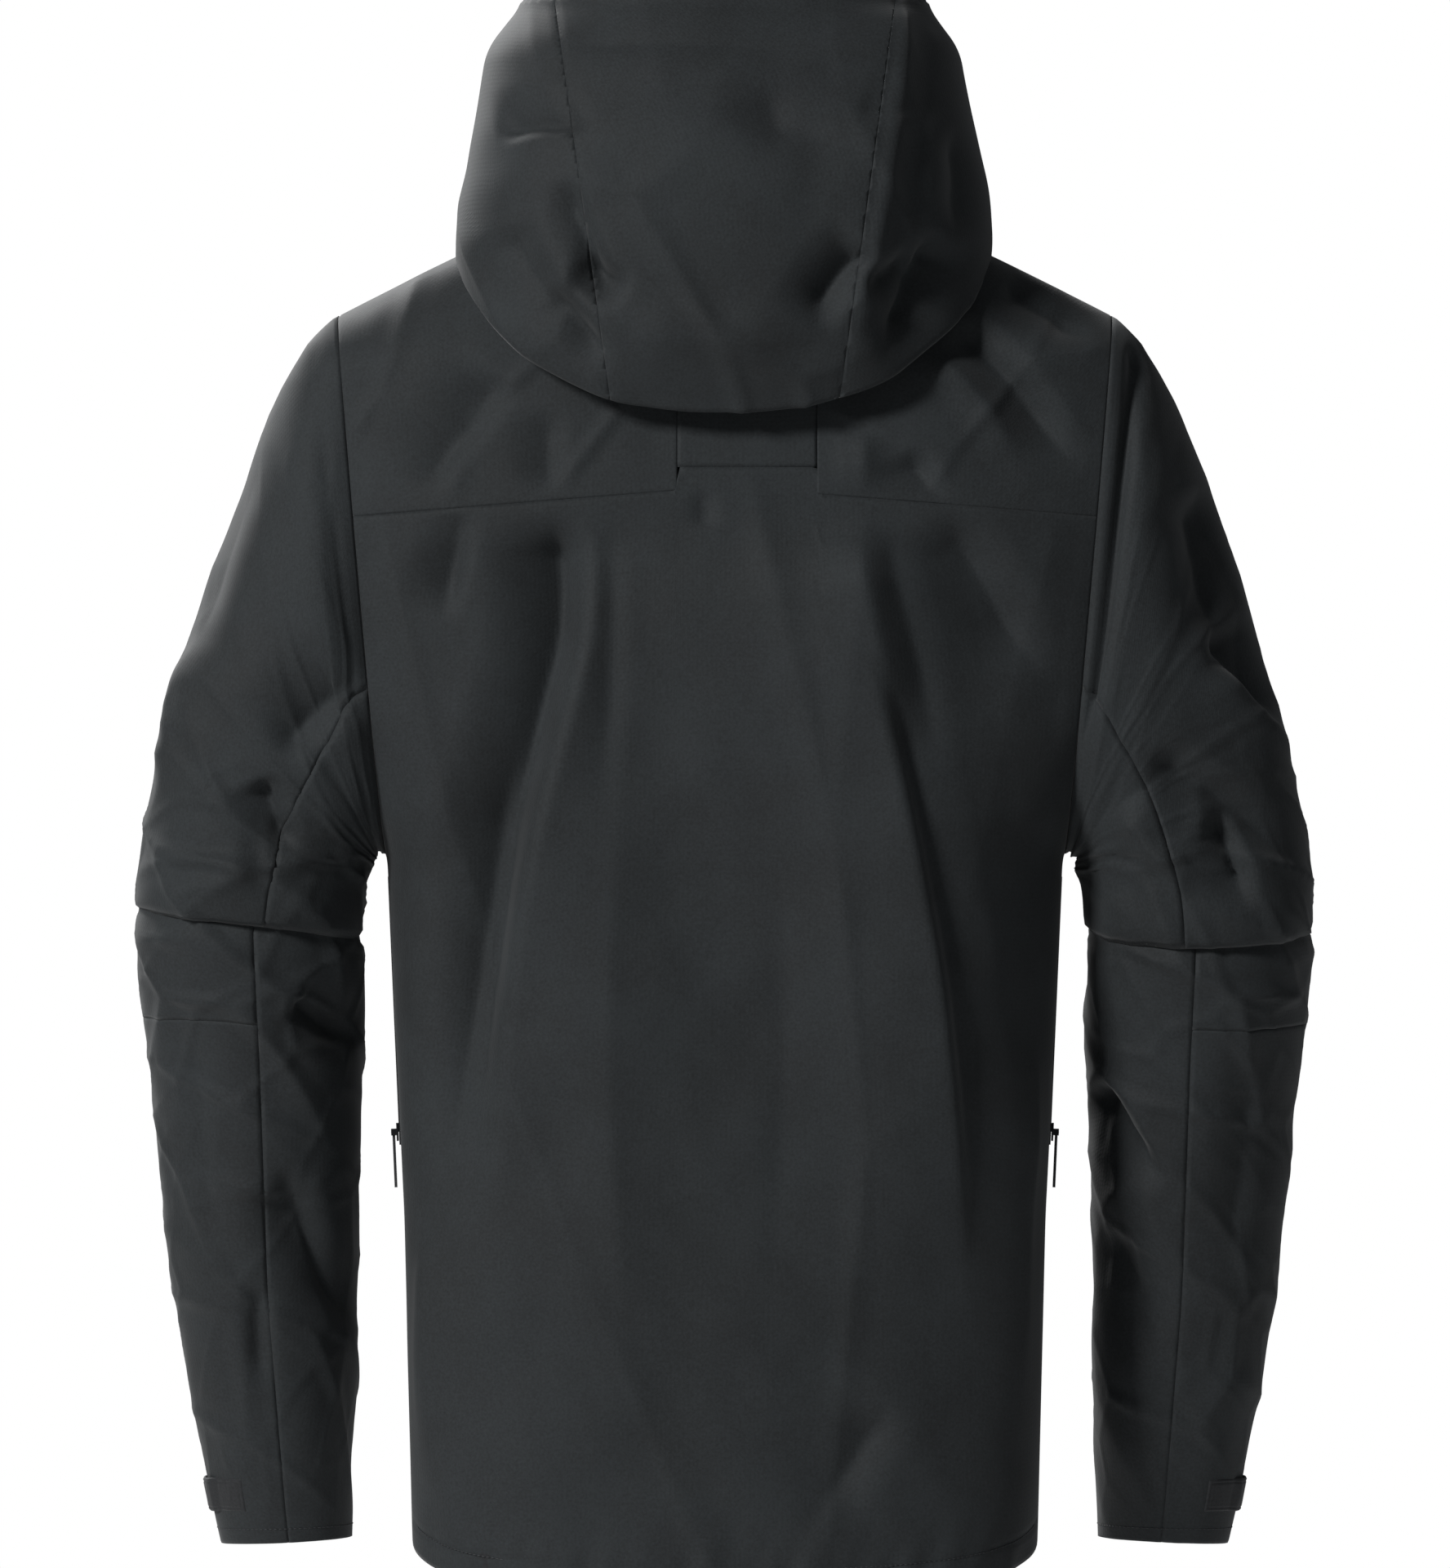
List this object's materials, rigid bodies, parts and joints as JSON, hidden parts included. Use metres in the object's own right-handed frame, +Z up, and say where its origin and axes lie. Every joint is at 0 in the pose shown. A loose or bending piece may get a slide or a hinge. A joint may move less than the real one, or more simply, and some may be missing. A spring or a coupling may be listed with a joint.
{
  "type": "hardshell jacket",
  "caption": "Hooded waterproof shell jacket with a full front zip, underarm vents, shaped elbows, closing wrist tabs and a dropped back hem.",
  "frame": {"origin": "middle of the top of the hang loop, inside the back of the neck", "axes": "+Z up; the chest and main zip face -Y; +X is the wearer's left, so the back is seen from +Y"},
  "size_m": [0.724, 0.2985, 0.996],
  "materials": {
    "shell_laminate": "matte",
    "brim_laminate": "matte",
    "pocket_lining": "matte",
    "inner_trim": "matte",
    "zip_tape": "satin",
    "zip_metal": "satin",
    "pull_rubber": "matte",
    "hook_and_loop": "matte"
  },
  "bodies": {
    "torso": {"back_panel": "shell_laminate", "front_left": "shell_laminate", "front_right": "shell_laminate", "hang_loop": "inner_trim", "hem_facing": "inner_trim", "hood_brim": "brim_laminate", "hood_centre": "shell_laminate", "hood_side_left": "shell_laminate", "hood_side_right": "shell_laminate", "main_zip_left": "zip_tape", "main_zip_right": "zip_tape", "neck_panel": "shell_laminate", "neck_tape": "inner_trim", "pit_zip_left": "zip_tape", "pit_zip_right": "zip_tape", "pocket_bag_left": "pocket_lining", "pocket_bag_right": "pocket_lining", "pocket_zip_left": "zip_tape", "pocket_zip_right": "zip_tape", "side_seam_tape_left": "inner_trim", "side_seam_tape_right": "inner_trim", "storm_flap": "shell_laminate", "yoke_left": "shell_laminate", "yoke_right": "shell_laminate", "yoke_seam_tape": "inner_trim", "zip_box": "zip_metal", "zip_garage": "shell_laminate"},
    "upper_arm_left": {"upper_sleeve_left": "shell_laminate", "underarm_gusset_left": "shell_laminate"},
    "forearm_left": {"elbow_panel_left": "shell_laminate", "forearm_outer_left": "shell_laminate", "forearm_inner_left": "shell_laminate", "cuff_facing_left": "inner_trim", "cuff_loop_patch_left": "hook_and_loop"},
    "cuff_strap_left": {"cuff_tab_left": "shell_laminate", "cuff_hook_patch_left": "hook_and_loop"},
    "pocket_slider_body_left": {"pocket_slider_left": "zip_metal"},
    "pocket_pull_body_left": {"pocket_pull_left": "pull_rubber"},
    "pit_slider_body_left": {"pit_slider_left": "zip_metal"},
    "pit_pull_body_left": {"pit_pull_left": "pull_rubber"},
    "upper_arm_right": {"upper_sleeve_right": "shell_laminate", "underarm_gusset_right": "shell_laminate"},
    "forearm_right": {"elbow_panel_right": "shell_laminate", "forearm_outer_right": "shell_laminate", "forearm_inner_right": "shell_laminate", "cuff_facing_right": "inner_trim", "cuff_loop_patch_right": "hook_and_loop"},
    "cuff_strap_right": {"cuff_tab_right": "shell_laminate", "cuff_hook_patch_right": "hook_and_loop"},
    "pocket_slider_body_right": {"pocket_slider_right": "zip_metal"},
    "pocket_pull_body_right": {"pocket_pull_right": "pull_rubber"},
    "pit_slider_body_right": {"pit_slider_right": "zip_metal"},
    "pit_pull_body_right": {"pit_pull_right": "pull_rubber"},
    "main_slider_body": {"main_slider": "zip_metal"},
    "main_pull_body": {"main_pull": "pull_rubber"}
  },
  "joints": [
    {"name": "main_zip_slide", "type": "slide", "parent": "torso", "child": "main_slider_body", "axis": [0, 0, 1], "range_m": [-0.76, 0]},
    {"name": "main_pull_swing", "type": "hinge", "parent": "main_slider_body", "child": "main_pull_body", "pos_m": [0, -0.17815, 0.0045], "axis": [-1, 0, 0], "range_deg": [0, 160]},
    {"name": "pocket_zip_slide_left", "type": "slide", "parent": "torso", "child": "pocket_slider_body_left", "axis": [0, 0, 1], "range_m": [0, 0.154]},
    {"name": "pocket_pull_swing_left", "type": "hinge", "parent": "pocket_slider_body_left", "child": "pocket_pull_body_left", "pos_m": [0.092, -0.17815, -0.6021], "axis": [-1, 0, 0], "range_deg": [0, 160]},
    {"name": "pit_zip_slide_left", "type": "slide", "parent": "torso", "child": "pit_slider_body_left", "axis": [0.0435, 0, 0.9991], "range_m": [0, 0.149]},
    {"name": "pit_pull_swing_left", "type": "hinge", "parent": "pit_slider_body_left", "child": "pit_pull_body_left", "pos_m": [0.20387, -0.068, -0.54909], "axis": [0, -1, 0], "range_deg": [0, 20]},
    {"name": "shoulder_lift_left", "type": "hinge", "parent": "torso", "child": "upper_arm_left", "pos_m": [0.2404, -0.068, -0.044], "axis": [0, -1, 0], "range_deg": [0, 45]},
    {"name": "elbow_bend_left", "type": "hinge", "parent": "upper_arm_left", "child": "forearm_left", "pos_m": [0.293, -0.1456, -0.4182], "axis": [-1, 0, 0], "range_deg": [0, 75]},
    {"name": "cuff_tab_peel_left", "type": "hinge", "parent": "forearm_left", "child": "cuff_strap_left", "pos_m": [0.2987, -0.10261, -0.7693], "axis": [0.0539, 0.3157, 0.9473], "range_deg": [0, 110]},
    {"name": "pocket_zip_slide_right", "type": "slide", "parent": "torso", "child": "pocket_slider_body_right", "axis": [0, 0, 1], "range_m": [0, 0.154]},
    {"name": "pocket_pull_swing_right", "type": "hinge", "parent": "pocket_slider_body_right", "child": "pocket_pull_body_right", "pos_m": [-0.092, -0.17815, -0.6021], "axis": [-1, 0, 0], "range_deg": [0, 160]},
    {"name": "pit_zip_slide_right", "type": "slide", "parent": "torso", "child": "pit_slider_body_right", "axis": [-0.0435, 0, 0.9991], "range_m": [0, 0.149]},
    {"name": "pit_pull_swing_right", "type": "hinge", "parent": "pit_slider_body_right", "child": "pit_pull_body_right", "pos_m": [-0.20387, -0.068, -0.54909], "axis": [0, 1, 0], "range_deg": [0, 20]},
    {"name": "shoulder_lift_right", "type": "hinge", "parent": "torso", "child": "upper_arm_right", "pos_m": [-0.2404, -0.068, -0.044], "axis": [0, 1, 0], "range_deg": [0, 45]},
    {"name": "elbow_bend_right", "type": "hinge", "parent": "upper_arm_right", "child": "forearm_right", "pos_m": [-0.293, -0.1456, -0.4182], "axis": [-1, 0, 0], "range_deg": [0, 75]},
    {"name": "cuff_tab_peel_right", "type": "hinge", "parent": "forearm_right", "child": "cuff_strap_right", "pos_m": [-0.2987, -0.10261, -0.7693], "axis": [0.0539, -0.3157, -0.9473], "range_deg": [0, 110]}
  ]
}
